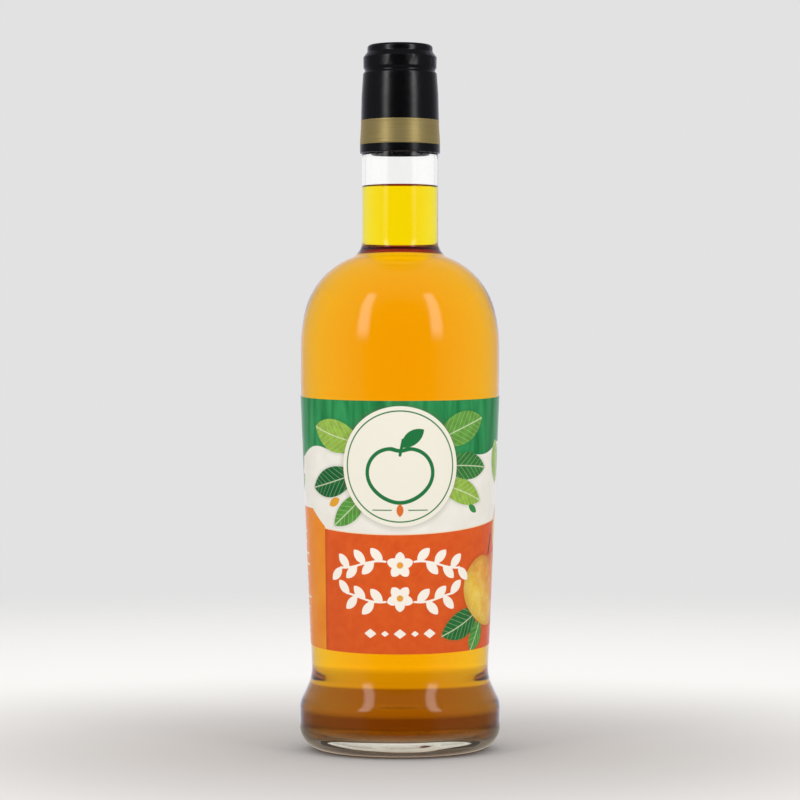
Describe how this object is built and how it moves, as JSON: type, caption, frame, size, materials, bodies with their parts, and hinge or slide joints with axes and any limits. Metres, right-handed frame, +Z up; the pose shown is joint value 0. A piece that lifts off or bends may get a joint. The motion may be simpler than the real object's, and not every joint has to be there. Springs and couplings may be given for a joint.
{
  "type": "vinegar bottle",
  "caption": "Shut clear glass bottle of amber vinegar on a flared foot, with a long black capsule, a gold band and a wide paper label.",
  "frame": {"origin": "centre of the ring that the foot of the bottle stands on, in the plane of the shelf", "axes": "+Z up along the axis that the bottle is turned about; -Y towards the front of the label; +X to the right of a viewer in front"},
  "size_m": [0.082, 0.082, 0.2881],
  "materials": {
    "glass": "clear flint glass, smooth and glossy",
    "vinegar": "clear amber liquid",
    "capsule": "satin black shrunk plastic",
    "gold_band": "satin gold foil with fine lines round it",
    "label": "coated label paper printed in green, cream and orange"
  },
  "bodies": {
    "root": {"bottle": "glass", "vinegar": "vinegar", "capsule": "capsule", "capsule_band": "gold_band", "label": "label"}
  },
  "joints": []
}
